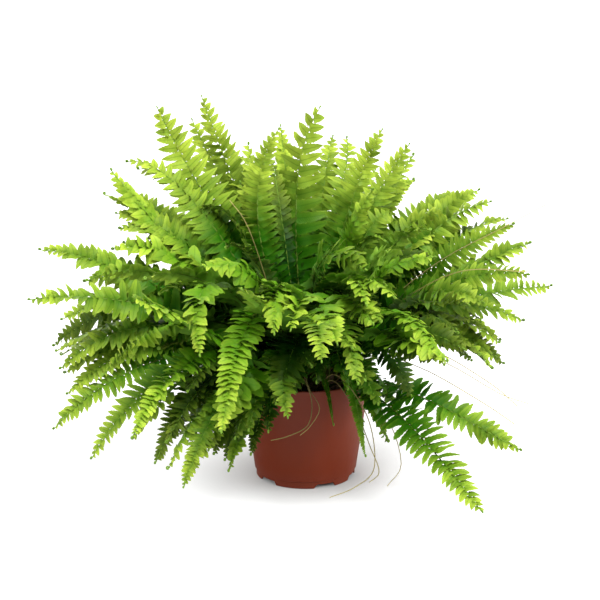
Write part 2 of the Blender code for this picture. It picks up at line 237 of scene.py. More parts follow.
def add_mottle(nodes, patch, grain):
    """The mottle masks in one material. The group is built once and shared."""
    group = bpy.data.node_groups.get("surface_mottle") or mottle_group()
    node = nodes.put("ShaderNodeGroup", node_tree=group)
    node.inputs["Patch size"].default_value = patch
    node.inputs["Grain size"].default_value = grain
    return node.outputs["Patches"], node.outputs["Grain"]


def add_bump(nodes, shader, height, strength, distance):
    """Give a shader fine relief."""
    bump = nodes.put("ShaderNodeBump", {"Height": height, "Strength": strength, "Distance": distance})
    nodes.feed(shader.inputs["Normal"], bump.outputs["Normal"])


def scaled(colour_value, factor):
    """A colour made darker or lighter by a factor."""
    return tuple(channel * factor for channel in colour_value)


def leaf_material(name, base, fresh, underside):
    """Leaf skin: darker at the vein, lighter and yellower towards the margin and the growing end, with
    painted shade near the heart of the plant and painted light on the high leaves.
    """
    material, shader = new_material(
        name, 0.42, subsurface_weight=0.1, subsurface_scale=0.0012, specular_ior_level=0.09,
    )
    shader.inputs["Subsurface Radius"].default_value = (0.6, 1.0, 0.25)
    nodes = Nodes(material.node_tree)
    age, tint = nodes.attribute("age"), nodes.attribute("tint")
    leaflet_map = nodes.put("ShaderNodeUVMap", uv_map="leaflet").outputs["UV"]
    place = nodes.put("ShaderNodeSeparateXYZ", {"Vector": leaflet_map})
    across = nodes.maths("ABSOLUTE", nodes.maths("MULTIPLY_ADD", place.outputs["X"], 2.0, -1.0))
    outward = place.outputs["Y"]
    patches, grain = add_mottle(nodes, 55.0, 900.0)
    dark = (base[0] * 0.45, base[1] * 0.6, base[2] * 0.5)
    light = tuple(a + (b - a) * share for a, b, share in zip(base, fresh, (0.48, 0.58, 0.45)))
    # A leaflet pales towards its end and margin, most of all on the outer half of the leaf.
    paling = nodes.maths(
        "MULTIPLY", nodes.span(outward, 0.1, 1.0, 0.0, 0.9), nodes.span(age, 0.1, 0.65, 0.22, 1.0),
    )
    skin = nodes.mix(paling, base, light)
    skin = nodes.mix(nodes.span(across, 0.5, 1.0, 0.0, 0.3), skin, light)
    # The growing end is the yellowest part. The leaves that stand high are painted yellower and lighter too,
    # as painted light.
    growing = nodes.maths(
        "MULTIPLY", nodes.span(age, 0.45, 0.95, 0.0, 1.0), nodes.span(outward, 0.0, 0.9, 0.35, 0.95),
    )
    skin = nodes.mix(growing, skin, fresh)
    # painted light: above 0.26 m the skin turns towards the fresh colour
    skin = nodes.mix(nodes.span(nodes.height(), 0.26, 0.36, 0.0, 0.75), skin, fresh)
    # Dark parts: painted shade around the heart of the plant, the inner end of the leaf (its older colour,
    # with painted shade over it), some leaflets, patches and the vein.
    from_painted_shade_centre = nodes.put(
        "ShaderNodeVectorMath", {0: nodes.spot(), 1: PAINTED_SHADE_CENTRE}, operation="DISTANCE",
    ).outputs["Value"]
    vein = nodes.span(across, 0.0, 0.16, 1.0, 0.0)
    for share in (
        # painted shade: leaves close to the heart of the plant are darkened
        nodes.span(from_painted_shade_centre, 0.07, 0.185, 0.95, 0.0),
        # the inner end of the leaf: darker older colour, and painted shade low in the plant
        nodes.span(age, 0.05, 0.5, 0.8, 0.0),
        nodes.maths("MULTIPLY", nodes.span(tint, 0.0, 1.0), 0.5),
        nodes.maths("MULTIPLY", patches, 0.3),
        nodes.maths("MULTIPLY", vein, 0.45),
    ):
        skin = nodes.mix(share, skin, dark)
    if underside:
        skin = nodes.mix(0.2, skin, UNDERSIDE_TINT)
    nodes.feed(shader.inputs["Base Color"], skin)
    # Slanted ribs run from the sunken vein to the margin.
    slant = nodes.maths("MULTIPLY_ADD", across, -1.6, nodes.maths("MULTIPLY", outward, 16.0))
    ribs = nodes.maths("SINE", nodes.maths("MULTIPLY", slant, math.tau))
    relief = nodes.maths("MULTIPLY_ADD", vein, -2.0, nodes.maths("MULTIPLY_ADD", grain, 0.5, ribs))
    add_bump(nodes, shader, relief, 0.35, 0.00012)
    nodes.feed(shader.inputs["Roughness"], nodes.span(grain, 0.3, 0.7, 0.36, 0.52))
    return material


def stem_material(name, skin, scale_colour=(0.10, 0.055, 0.02)):
    """Stalk skin: green with brown papery scales, thicker towards the crown."""
    material, shader = new_material(name, 0.5, specular_ior_level=0.12)
    nodes = Nodes(material.node_tree)
    age = nodes.attribute("age")
    patches, grain = add_mottle(nodes, 160.0, 1400.0)
    scaly = nodes.maths("MULTIPLY", nodes.span(age, 0.0, 0.35, 1.0, 0.12), nodes.span(grain, 0.42, 0.6))
    body = nodes.mix(nodes.maths("MULTIPLY", patches, 0.4), skin, scaled(skin, 0.6))
    body = nodes.mix(nodes.span(age, 0.5, 0.95, 0.0, 0.8), body, scaled(skin, 2.4))
    nodes.feed(shader.inputs["Base Color"], nodes.mix(scaly, body, scale_colour))
    nodes.feed(shader.inputs["Roughness"], nodes.span(grain, 0.3, 0.7, 0.4, 0.65))
    add_bump(nodes, shader, grain, 0.4, 0.0002)
    return material


def plastic_material(skin):
    """Satin moulded plastic: faint flow marks, dust near the foot, lighter rubbed lip."""
    material, shader = new_material("pot_plastic_skin", 0.34, specular_ior_level=0.25)
    nodes = Nodes(material.node_tree)
    height = nodes.height()
    patches, grain = add_mottle(nodes, 14.0, 1100.0)
    dusty = tuple((1 - DUST) * channel + DUST * DUST_GREY for channel in skin)
    body = nodes.mix(nodes.maths("MULTIPLY", patches, 0.35), skin, scaled(skin, 0.8))
    low = nodes.span(height, 0.0, 0.02, 0.35, 0.0)
    body = nodes.mix(nodes.maths("MULTIPLY", low, nodes.span(grain, 0.4, 0.6)), body, dusty)
    body = nodes.mix(nodes.span(height, POT_HIGH.z - 3 * MM, POT_HIGH.z, 0.0, 0.3), body, dusty)
    nodes.feed(shader.inputs["Base Color"], body)
    stretched = nodes.put("ShaderNodeMapping", {"Vector": nodes.spot(), "Scale": (1.0, 1.0, 0.12)})
    flow = nodes.noise(420.0, 2.0, stretched.outputs[0])
    nodes.feed(shader.inputs["Roughness"], nodes.span(flow, 0.3, 0.7, 0.29, 0.42))
    add_bump(nodes, shader, nodes.maths("MULTIPLY_ADD", grain, 0.4, flow), 0.12, 0.0002)
    return material


def earth_material(name, skin, light):
    """Crumbly peat with pale fibres."""
    material, shader = new_material(name, 0.95)
    nodes = Nodes(material.node_tree)
    patches, grain = add_mottle(nodes, 240.0, 1500.0)
    body = nodes.mix(nodes.span(grain, 0.45, 0.75), skin, light)
    body = nodes.mix(nodes.maths("MULTIPLY", patches, 0.5), body, scaled(skin, 0.4))
    nodes.feed(shader.inputs["Base Color"], body)
    add_bump(nodes, shader, grain, 0.8, 0.0008)
    return material


# ---------------------------------------------------------------- mesh helpers


def finish_piece(name, bm, materials, replaced=(), sharp=50.0):
    """Turn a bmesh into a smooth-shaded piece that rides on the plant."""
    mesh = to_mesh(bm, name)
    for material in materials:
        mesh.materials.append(material)
    mesh.shade_smooth()
    mesh.set_sharp_from_angle(angle=math.radians(sharp))
    piece = bpy.data.objects.new(name, mesh)
    bpy.context.scene.collection.objects.link(piece)
    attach(piece, BODY)
    if replaced:
        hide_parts(*replaced)


def add_tube(bm, points, radii, sides, ages, material_index=0):
    """Add a closed tube along points to a leaf's bmesh, with an age at each point."""
    curve = bpy.data.curves.new("tube", "CURVE")
    curve.dimensions = "3D"
    curve.bevel_depth = 1.0
    curve.bevel_resolution = max(sides // 2 - 2, 0)
    curve.use_fill_caps = True
    spline = curve.splines.new("POLY")
    spline.points.add(len(points) - 1)
    for point, place, radius in zip(spline.points, points, radii):
        point.co = (*place, 1)
        point.radius = radius
    holder = bpy.data.objects.new("tube", curve)
    bpy.context.scene.collection.objects.link(holder)
    mesh = bpy.data.meshes.new_from_object(holder.evaluated_get(bpy.context.evaluated_depsgraph_get()))
    bpy.data.objects.remove(holder)
    bpy.data.curves.remove(curve)
    tube = new_leaf_bmesh()
    tube.from_mesh(mesh)
    bmesh.ops.remove_doubles(tube, verts=tube.verts, dist=1e-6)
    for face in tube.faces:
        face.material_index = material_index
    age_layer = tube.verts.layers.float["age"]
    places = np.array(points)
    for vert in tube.verts:
        vert[age_layer] = ages[int(np.argmin(((places - np.array(vert.co)) ** 2).sum(1)))]
    tube.to_mesh(mesh)
    tube.free()
    bm.from_mesh(mesh)
    bpy.data.meshes.remove(mesh)


def to_mesh(bm, name):
    """A mesh made from a bmesh, which is freed."""
    mesh = bpy.data.meshes.new(name)
    bm.to_mesh(mesh)
    bm.free()
    return mesh


def new_leaf_bmesh():
    """An empty bmesh with the layers that the leaf materials read."""
    bm = bmesh.new()
    bm.verts.layers.float.new("age")
    bm.verts.layers.float.new("tint")
    bm.loops.layers.uv.new("leaflet")
    return bm


def turned(profile, steps, closed):
    """A bmesh made by turning points, given as radius and height, about the upright axis."""
    bm = bmesh.new()
    verts = [bm.verts.new((radius, 0, height)) for radius, height in profile]
    edges = [bm.edges.new(pair) for pair in zip(verts, verts[1:] + verts[:closed])]
    bmesh.ops.spin(
        bm, geom=verts + edges, axis=(0, 0, 1), cent=(0, 0, 0), angle=math.tau, steps=steps, use_merge=True,
    )
    bmesh.ops.remove_doubles(bm, verts=bm.verts, dist=1e-6)
    return bm


def curve_point(a, b, c, d, u):
    """A point between b and c, at share u, on the smooth curve that passes four points."""
    return 0.5 * (
        2 * b + (c - a) * u + (2 * a - 5 * b + 4 * c - d) * u ** 2 + (3 * b - a - 3 * c + d) * u ** 3
    )


def smoothed(points, parts):
    """More points on a smooth curve through the given ones."""
    ends = [2 * points[0] - points[1]] + points + [2 * points[-1] - points[-2]]
    made = []
    for corners in zip(ends, ends[1:], ends[2:], ends[3:]):
        made += [curve_point(*corners, index / parts) for index in range(parts)]
    return made + [points[-1]]


# ---------------------------------------------------------------- leaflets

LEAFLET_STEPS = 12  # faces along a leaflet
VARIANTS = 9  # leaflets of each kind


def leaflet_outline(along, upper, pointed):
    """Half width of a leaflet, as a share of its full width. Upper is the side towards the frond's tip."""
    start = 0.5 + 0.5 * min(along / 0.07, 1.0)
    if pointed:
        body = (1.0 - along ** 2.2) ** 0.85
    else:
        body = (1.0 - along ** 4.6) ** 0.68 * (0.98 - 0.22 * along)
    ear = math.exp(-((along - 0.09) / 0.08) ** 2) * (0.26 if upper else 0.1)
    return 0.5 * start * (body + ear)


def leaflet_template(index, pointed):
    """A unit leaflet along +X, closed and thin, with a toothed margin, curved and twisted a little."""
    rng = random.Random(100 + index + 50 * pointed)
    droop = rng.uniform(0.1, 0.65)
    twist = math.radians(rng.uniform(-20, 14))
    hook = rng.uniform(0.05, 0.3)
    fold = rng.uniform(-0.15, 0.22)
    wave = rng.uniform(0.0, 0.16)
    phase = rng.uniform(0.0, 6.0)
    bm = new_leaf_bmesh()
    uv = bm.loops.layers.uv["leaflet"]
    bmesh.ops.create_grid(bm, x_segments=LEAFLET_STEPS, y_segments=2, size=0.5)
    grid = {}
    for vert in bm.verts:
        grid[vert] = (vert.co.x + 0.5, round(vert.co.y * 2))
    for face in bm.faces:
        for loop in face.loops:
            along, side = grid[loop.vert]
            loop[uv].uv = (0.5 + side / 2, along)
    doubled = bmesh.ops.duplicate(bm, geom=bm.faces[:])
    under = [item for item in doubled["geom"] if isinstance(item, bmesh.types.BMFace)]
    for old, new in doubled["vert_map"].items():
        if old in grid:
            grid[new] = grid[old]
    lower = {vert for face in under for vert in face.verts}
    for face in under:
        face.material_index = 1
    bmesh.ops.reverse_faces(bm, faces=under)
    for vert, (along, side) in grid.items():
        step = round(along * LEAFLET_STEPS)
        tooth = 1.0 + (0.08 if step % 2 else -0.06) * (0 < along < 0.95)
        half = leaflet_outline(along, side > 0, pointed) * tooth if along < 1 else 0.0
        thick = math.sin(math.pi * min(along * 1.02, 1.0)) if side == 0 else 0.0
        y = side * half
        z = (-thick if vert in lower else thick) * 0.022
        z += fold * abs(side) * half + wave * math.sin(along * 9.0 + phase) * side * half * 2
        angle = twist * along
        y, z = y * math.cos(angle) - z * math.sin(angle), y * math.sin(angle) + z * math.cos(angle)
        vert.co = (along * (1.0 - 0.06 * droop * along), y + hook * along ** 2, z - droop * along ** 2)
    bmesh.ops.remove_doubles(bm, verts=bm.verts, dist=1e-5)
    return to_mesh(bm, f"leaflet_template_{index}_{int(pointed)}")


def place_leaflet(bm, template, place, age, tint):
    """Copy a template leaflet into a leaf, turned and sized by a matrix."""
    first = len(bm.verts)
    bm.from_mesh(template)
    bm.verts.ensure_lookup_table()
    added = bm.verts[first:]
    bmesh.ops.transform(bm, matrix=place, verts=added)
    age_layer = bm.verts.layers.float["age"]
    tint_layer = bm.verts.layers.float["tint"]
    for vert in added:
        vert[age_layer] = age
        vert[tint_layer] = tint


# ---------------------------------------------------------------- reading the frond solids


def rings_of(node):
    """Vertex rings of a tube-like solid, from its end inside the crown to its tip, as arrays of points."""
    mesh = frame["nodes"][node].data
    co = np.empty(len(mesh.vertices) * 3)
    mesh.vertices.foreach_get("co", co)
    places, index = np.unique(np.round(co.reshape(-1, 3), 6), axis=0, return_inverse=True)
    index = index.ravel()
    links = [set() for _ in places]
    for polygon in mesh.polygons:
        corners = [index[corner] for corner in polygon.vertices]
        for a, b in zip(corners, corners[1:] + corners[:1]):
            links[a].add(b)
            links[b].add(a)
    pointed = [vert for vert, near in enumerate(links) if len(near) <= 4]
    pointed.sort(key=lambda vert: float(np.linalg.norm(places[vert] - (0, 0, SOIL_HIGH.z))))
    for start in pointed:
        seen, layer, rings = {start}, [start], []
        while layer:
            rings.append(layer)
            layer = sorted({far for near in layer for far in links[near]} - seen)
            seen.update(layer)
        if len({len(ring) for ring in rings[1:-1]}) == 1 and len(rings[-1]) == 1:
            return places, links, rings
    raise RuntimeError(f"{node} has no pointed end")


def ring_pairs(ring, links):
    """The two diagonals of a ring of four."""
    first = ring[0]
    opposite = next(other for other in ring[1:] if other not in links[first])
    rest = [other for other in ring[1:] if other != opposite]
    return (first, opposite), tuple(rest)


class Spine:
    """Centre line of a leaf: places, facing and half width at any share of its length."""

    def __init__(self, centres, sides, ups, half):
        self.centres = [Vector(point) for point in centres]
        self.sides = [Vector(side) for side in sides]
        self.ups = [Vector(up) for up in ups]
        self.half = half
        steps = [(b - a).length for a, b in zip(self.centres, self.centres[1:])]
        self.marks = np.concatenate([[0.0], np.cumsum(steps)])
        self.length = float(self.marks[-1])

    def at(self, share):
        """Point, direction, side and up vectors."""
        place = min(max(share, 0.0), 1.0) * self.length
        index = int(np.clip(np.searchsorted(self.marks, place) - 1, 0, len(self.centres) - 2))
        u = (place - self.marks[index]) / max(self.marks[index + 1] - self.marks[index], 1e-9)
        b, c = self.centres[index], self.centres[index + 1]
        a = self.centres[index - 1] if index else 2 * b - c
        d = self.centres[index + 2] if index + 2 < len(self.centres) else 2 * c - b
        along = (0.5 * ((c - a) * (1 - u) + (d - b) * u)).normalized()
        side = self.sides[index].lerp(self.sides[index + 1], u)
        side = (side - along * side.dot(along)).normalized()
        return curve_point(a, b, c, d, u), along, side, side.cross(along).normalized()


ROOT_REACH = 14  # how far from the axis a leaf without a solid starts (mm)
SPINE_STEPS = 24


def drawn_spine(azimuth, reach, tip, lift, crest, bow, half, roll):
    """Spine of a leaf without a solid, from the place of its tip and the handles of its curve."""
    outward = Matrix.Rotation(math.radians(azimuth), 3, "Z") @ Vector((1, 0, 0))
    left = Vector((-outward.y, outward.x, 0))
    start = outward * ROOT_REACH * MM
    start.z = CROWN_HIGH.z - 6 * MM
    end = outward * reach * MM + Vector((0, 0, tip * MM))
    span = outward * (reach - ROOT_REACH) * MM
    first, second = start + span * 0.22 + left * bow * MM / 2, start + span * 0.72 + left * bow * MM
    first.z, second.z = lift * MM, crest * MM
    centres, sides = [], []
    for index in range(SPINE_STEPS + 1):
        t = index / SPINE_STEPS
        u = 1 - t
        centres.append(start * u ** 3 + first * 3 * u ** 2 * t + second * 3 * u * t ** 2 + end * t ** 3)
        along = (first - start) * u ** 2 + (second - first) * 2 * u * t + (end - second) * t ** 2
        along.normalize()
        side = (left - along * left.dot(along)).normalized()
        sides.append(Matrix.Rotation(math.radians(roll) * min(t / 0.5, 1), 3, along) @ -side)
    return Spine(centres, sides, sides, half * MM)


def frond_spine(node):
    """Read a leaf's spine from its solid: the widest diagonal is its width, the deeper side its underside."""
    places, links, rings = rings_of(node)
    inner = [ring for ring in rings if len(ring) == 4]
    pairs = [ring_pairs(ring, links) for ring in inner]
    reference = int(len(inner) * 0.6)

    def gap(pair):
        return float(np.linalg.norm(places[pair[0]] - places[pair[1]]))

    widest = max(pairs[reference], key=gap)
    other = pairs[reference][1] if widest == pairs[reference][0] else pairs[reference][0]
    middle = (places[widest[0]] + places[widest[1]]) / 2
    shallow, deep = sorted(other, key=lambda vert: float(np.linalg.norm(places[vert] - middle)))
    up = Vector(places[shallow] - places[deep]).normalized()
    side = Vector(places[widest[0]] - places[widest[1]]).normalized()
    centres, sides, ups, widths = ([None] * len(inner) for _ in range(4))
    for order in (range(reference, len(inner)), range(reference, -1, -1)):
        last_side, last_up = side, up
        for index in order:
            options = []
            for pair, cross in (pairs[index], pairs[index][::-1]):
                direction = Vector(places[pair[0]] - places[pair[1]]).normalized()
                options.append((abs(direction.dot(last_side)), pair, cross, direction))
            _, pair, cross, direction = max(options, key=lambda option: option[0])
            direction = direction if direction.dot(last_side) > 0 else -direction
            rise = Vector(places[cross[0]] - places[cross[1]]).normalized()
            rise = rise if rise.dot(last_up) > 0 else -rise
            centres[index] = Vector((places[pair[0]] + places[pair[1]]) / 2)
            sides[index], ups[index], widths[index] = direction, rise, gap(pair) / 2
            last_side, last_up = direction, rise
    along = (centres[reference + 1] - centres[reference - 1]).normalized()
    if sides[reference].cross(along).dot(ups[reference]) < 0:
        sides = [-side for side in sides]
    start, end = Vector(places[rings[0][0]]), Vector(places[rings[-1][0]])
    return Spine(
        [start] + centres + [end], [sides[0]] + sides + [sides[-1]], [ups[0]] + ups + [ups[-1]], max(widths),
    )


# ---------------------------------------------------------------- leaves

BLADE_START = 0.17  # the share of a leaf that is bare stalk
FULLNESS = {"young": 1.8, "mature": 1.2, "deep": 1.25}
FRESHNESS = {"young": 1.0, "mature": 0.85, "deep": 0.42}
UPRIGHT_FROM = 0.3  # a leaf whose tip is higher than this stands upright, and is changed by these factors
UPRIGHT_FULLNESS, UPRIGHT_GAP, UPRIGHT_LENGTH, UPRIGHT_RUFFLE = 0.84, 1.12, 1.06, 0.6


def leaflet_length(share):
    """Leaflet length along the blade, as a share of the longest."""
    rise = min(share / 0.26, 1.0)
    return (0.42 + 0.58 * math.sin(rise * math.pi / 2)) * (1.0 - share ** 3) ** 0.75 * 0.93 + 0.07


def tip_coil(spine, size):
    """Points of the small tight coil at a growing tip, which continues the midrib."""
    point, along, _, up = spine.at(1.0)
    points = []
    for index in range(1, 15):
        turn = 1.4 * math.tau * index / 14
        radius = size * (1.0 - 0.6 * index / 14)
        points.append(point + along * math.sin(turn) * radius + up * (size - math.cos(turn) * radius))
    return points


def add_midrib(bm, spine, stalk, coil_size):
    """Add a leaf's stalk and midrib, which end in the tip's coil."""
    steps = max(int(spine.length / (5 * MM)), 12)
    shares = [index / steps for index in range(steps + 1)]
    coil = tip_coil(spine, coil_size)
    points = [spine.at(share)[0] for share in shares] + coil
    radii = [stalk * (1.0 - 0.56 * share ** 0.8) for share in shares] + [0.75 * MM] * len(coil)
    add_tube(bm, points, radii, 6, shares + [1.0] * len(coil), material_index=2)


def leaflet_axes(out, along, up, hand, forward, lift, roll):
    """Axes of a leaflet that leans towards the tip, rises, and is turned about its own length."""
    x_axis = (out * math.cos(forward) + along * math.sin(forward)).normalized()
    x_axis = (x_axis * math.cos(lift) + up * math.sin(lift)).normalized()
    y_axis = (along - x_axis * along.dot(x_axis)).normalized()
    z_axis = x_axis.cross(y_axis) * hand
    return (
        x_axis,
        y_axis * math.cos(roll) + z_axis * math.sin(roll),
        z_axis * math.cos(roll) - y_axis * math.sin(roll),
    )


def grow_leaf(bm, spine, leaf, templates, tone, seed):
    """Grow one leaf along its spine: stalk and midrib, two rows of leaflets and a coiled tip."""
    rng = random.Random(seed)
    add_midrib(bm, spine, leaf.stalk, rng.uniform(1.1, 1.8) * MM)
    longest = spine.half * leaf.reach
    gap = spine.half * leaf.spacing * rng.uniform(0.92, 1.22)
    blade = spine.length * (1 - BLADE_START)
    fullness = leaf.fullness * FULLNESS[tone] * rng.uniform(0.88, 1.14)
    upright = spine.at(1.0)[0].z > UPRIGHT_FROM
    if upright:
        fullness *= UPRIGHT_FULLNESS
        gap *= UPRIGHT_GAP
        longest *= UPRIGHT_LENGTH
    bank = rng.uniform(-6, 24)
    cup = rng.uniform(0, 22)
    ruffle = rng.choice((0.8, 1.1, 1.5, 2.0)) * (UPRIGHT_RUFFLE if upright else 1.0)
    sway = Vector((seed * 7.3, 0, 0))
    side_sign = 1.0
    place = 0.0
    while place < blade * 0.985:
        share = place / blade
        relative = leaflet_length(share)
        local_gap = gap * (0.74 + 0.26 * relative + (0.16 * share if upright else 0.0))
        point, along, side, up = spine.at(BLADE_START + (1 - BLADE_START) * share)
        size = longest * relative * rng.uniform(0.93, 1.04)
        width = min(local_gap * fullness, size * 0.85) * rng.uniform(0.93, 1.07)
        drift = noise.noise_vector(sway + Vector((0, place * 26, side_sign * 4)))
        forward = math.radians(3 + 26 * share ** 2 + (14 * drift.x + rng.uniform(-5, 5)) * ruffle)
        lift = math.radians(cup + (26 * drift.y + rng.uniform(-10, 10)) * ruffle)
        roll = math.radians(bank + (32 * drift.z + rng.uniform(-14, 14)) * ruffle)
        out = side * side_sign
        x_axis, y_axis, z_axis = leaflet_axes(out, along, up, side_sign, forward, lift, roll)
        matrix = Matrix.Identity(4)
        for column, vector in enumerate((x_axis * size, y_axis * width, z_axis * width)):
            for row in range(3):
                matrix[row][column] = vector[row]
        matrix.translation = point - out * 0.2 * MM + up * 0.2 * MM
        shape = templates[rng.random() < share * 2.0 - (0.2 if upright else 1.0)]
        plain, turned_over = shape[rng.randrange(VARIANTS)]
        place_leaflet(bm, plain if side_sign > 0 else turned_over, matrix, share, rng.random())
        side_sign = -side_sign
        place += local_gap / 2


def mirrored(mesh):
    """The same leaflet with its faces turned, for use with a mirroring matrix."""
    bm = bmesh.new()
    bm.from_mesh(mesh)
    bmesh.ops.reverse_faces(bm, faces=bm.faces)
    return to_mesh(bm, mesh.name + "_mirrored")


def leaflet_templates():
    """Leaflet shapes for the blade and for its narrow end, each also mirrored."""
    families = []
    for pointed in (False, True):
        made = [leaflet_template(index, pointed) for index in range(VARIANTS)]
        families.append([(mesh, mirrored(mesh)) for mesh in made])
    return families


def leaf_materials(leaf, tone):
    """Upper skin, underside and stalk of one tone of leaf."""
    base = tuple(getattr(leaf, tone))
    fresh = tuple(a + (b - a) * FRESHNESS[tone] for a, b in zip(base, leaf.fresh))
    names = (f"leaf_{tone}_upper", f"leaf_{tone}_under", f"stalk_{tone}")
    if names[0] not in bpy.data.materials:
        leaf_material(names[0], base, fresh, underside=False)
        leaf_material(names[1], base, fresh, underside=True)
        stem_material(names[2], tuple(leaf.stem))
    return [bpy.data.materials[name] for name in names]


# ---------------------------------------------------------------- operators


class FERN_OT_add_pot(bpy.types.Operator):
    """Turn the pot, with its rolled lip and notched foot ring"""

    bl_idname = "fern.add_pot"
    bl_label = "Add Pot"

    def execute(self, context):
        pot = context.scene.fern_pot
        height = POT_HIGH.z
        rim = POT_HIGH.x

        def wall_at(z):
            return POT_BASE + (rim - POT_BASE) / height * z

        lip = pot.lip / 2
        foot_outer = POT_BASE - 0.5 * MM
        profile = [
            (0, pot.foot), (foot_outer - pot.wall, pot.foot), (foot_outer - pot.wall, 0.3 * MM),
            (foot_outer - pot.wall + 0.3 * MM, 0), (foot_outer - 0.3 * MM, 0), (foot_outer, 0.3 * MM),
            (foot_outer + 0.2 * MM, 7.4 * MM), (wall_at(8 * MM), 8.1 * MM),
            (wall_at(40 * MM), 40 * MM), (wall_at(75 * MM), 75 * MM),
            (wall_at(height - 5 * MM), height - 5 * MM),
        ]
        for degrees in range(-10, 191, 25):
            angle = math.radians(degrees)
            profile.append((rim - lip + lip * math.cos(angle), height - lip + lip * math.sin(angle)))
        profile += [
            (wall_at(height - 6 * MM) - pot.wall, height - 6 * MM),
            (wall_at(8 * MM) - pot.wall, 8 * MM), (0, pot.foot + 2 * MM),
        ]
        bm = turned(profile, 240, closed=True)
        for vert in bm.verts:
            if vert.co.z < 0.5 * MM:
                vert.co.z += notch_depth(vert.co) * (pot.foot - 0.8 * MM)
        bmesh.ops.recalc_face_normals(bm, faces=bm.faces)
        finish_piece("nursery_pot", bm, [plastic_material(tuple(pot.plastic))], ["pot"], 30.0)
        return {"FINISHED"}


def notch_depth(place):
    """1 inside a drainage notch of the foot ring, 0 on its resting arcs, sloping between."""
    angle = math.degrees(math.atan2(place.y, place.x)) + 90
    depth = 0.0
    for middle in NOTCH_PAIRS:
        for side in (-NOTCH_OFFSET, NOTCH_OFFSET):
            away = abs((angle - middle - side + 180) % 360 - 180)
            depth = max(depth, min(max((NOTCH_HALF - away) / NOTCH_SLOPE, 0.0), 1.0))
    return depth


class FERN_OT_add_compost(bpy.types.Operator):
    """Fill the pot with crumbly compost"""

    bl_idname = "fern.add_compost"
    bl_label = "Add Compost"

    def execute(self, context):
        pot = context.scene.fern_pot
        top = POT_HIGH.z - SOIL_DROP
        edge = SOIL_HIGH.x - 0.4 * MM
        low = SOIL_LOW.z + 1 * MM
        profile = [(0, low), (edge - 13 * MM, low), (edge, top - 2 * MM)]
        rings = 26
        for index in range(rings + 1):
            radius = edge * (1 - index / rings)
            profile.append((radius, top + 2 * MM * (1 - radius / edge)))
        bm = turned(profile, 140, closed=False)
        for vert in bm.verts:
            radius = math.hypot(vert.co.x, vert.co.y)
            if vert.co.z > top - 1 * MM and radius < edge - 0.5 * MM:
                vert.co.z += 2.2 * MM * noise.noise(vert.co * 130) + 1.6 * MM * noise.noise(vert.co * 420)
        rng = random.Random(5)
        for _ in range(420):
            radius = edge * 0.96 * math.sqrt(rng.uniform(0.2, 1))
            angle = rng.uniform(0, math.tau)
            size = rng.uniform(0.6, 1.9) * MM
            height = top + rng.uniform(0.2, 1.8) * MM
            spot = Vector((radius * math.cos(angle), radius * math.sin(angle), height))
            turn = Matrix.Rotation(rng.uniform(0, math.tau), 4, (rng.random(), rng.random(), 1))
            squash = Matrix.Diagonal((rng.uniform(0.7, 1.6), rng.uniform(0.6, 1), rng.uniform(0.5, 1), 1))
            bmesh.ops.create_icosphere(
                bm, subdivisions=1, radius=size, matrix=Matrix.Translation(spot) @ turn @ squash,
            )
        bmesh.ops.recalc_face_normals(bm, faces=bm.faces)
        material = earth_material("compost_skin", tuple(pot.compost), (0.07, 0.045, 0.025))
        finish_piece("compost_fill", bm, [material], ["soil"])
        return {"FINISHED"}


class FERN_OT_add_crown(bpy.types.Operator):
    """Grow the scaly crown that every stalk comes from, with coiled new shoots"""

    bl_idname = "fern.add_crown"
    bl_label = "Add Crown"

    def execute(self, context):
        leaf = context.scene.fern_leaf
        radius = CROWN_HIGH.x
        top = CROWN_HIGH.z - 1 * MM
        bm = new_leaf_bmesh()
        bmesh.ops.create_uvsphere(bm, u_segments=96, v_segments=40, radius=1.0)
        for vert in bm.verts:
            rise = (top - CROWN_LOW.z) if vert.co.z > 0 else 6 * MM
            vert.co = Vector((vert.co.x * radius, vert.co.y * radius, CROWN_LOW.z + vert.co.z * rise))
            vert.co.z += 2.5 * MM * noise.noise(vert.co * 110) + 1.0 * MM * noise.noise(vert.co * 400)
        rng = random.Random(9)
        for _ in range(520):
            angle, share = rng.uniform(0, math.tau), math.sqrt(rng.random())
            spot = Vector((math.cos(angle), math.sin(angle), 0)) * radius * share
            spot.z = CROWN_LOW.z + (top - CROWN_LOW.z) * math.sqrt(max(1 - share ** 2, 0)) - 0.6 * MM
            lean = Matrix.Rotation(angle, 4, "Z") @ Matrix.Rotation(rng.uniform(-0.3, 1.1) * share, 4, "Y")
            size = Matrix.Diagonal((0.5 * MM, 0.9 * MM, rng.uniform(2, 5) * MM, 1))
            bmesh.ops.create_cone(
                bm, cap_ends=True, segments=4, radius1=1, radius2=0.05, depth=2,
                matrix=Matrix.Translation(spot) @ lean @ size,
            )
        bmesh.ops.recalc_face_normals(bm, faces=bm.faces)
        material = earth_material("rhizome_scales", (0.075, 0.042, 0.016), (0.2, 0.13, 0.06))
        for index in range(7):
            angle = math.tau * (index * 0.381966 + 0.1)
            shoot_at(bm, angle, radius * rng.uniform(0.45, 0.85), top, rng.uniform(22, 42) * MM, leaf)
        materials = [material, material, stem_material("shoot_skin", tuple(leaf.stem))]
        finish_piece("rhizome_crown", bm, materials, ["crown"])
        return {"FINISHED"}


def shoot_at(bm, angle, distance, top, height, leaf):
    """A coiled new shoot standing on the crown."""
    out = Vector((math.cos(angle), math.sin(angle), 0))
    foot = out * distance + Vector((0, 0, top - 8 * MM))
    coil = 3.2 * MM
    points, radii = [], []
    for index in range(10):
        share = index / 9
        points.append(foot + Vector((0, 0, height * share)) + out * 5 * MM * share ** 2)
        radii.append(leaf.stalk * (1.25 - 0.25 * share))
    head = points[-1] - out * coil
    for index in range(1, 27):
        turn = math.tau * 1.7 * index / 26
        radius = coil * (1 - 0.72 * index / 26)
        points.append(head + out * radius * math.cos(turn) + Vector((0, 0, radius * math.sin(turn))))
        radii.append(leaf.stalk * (1 - 0.6 * index / 26))
    add_tube(bm, points, radii, 8, [0.25] * len(points), material_index=2)


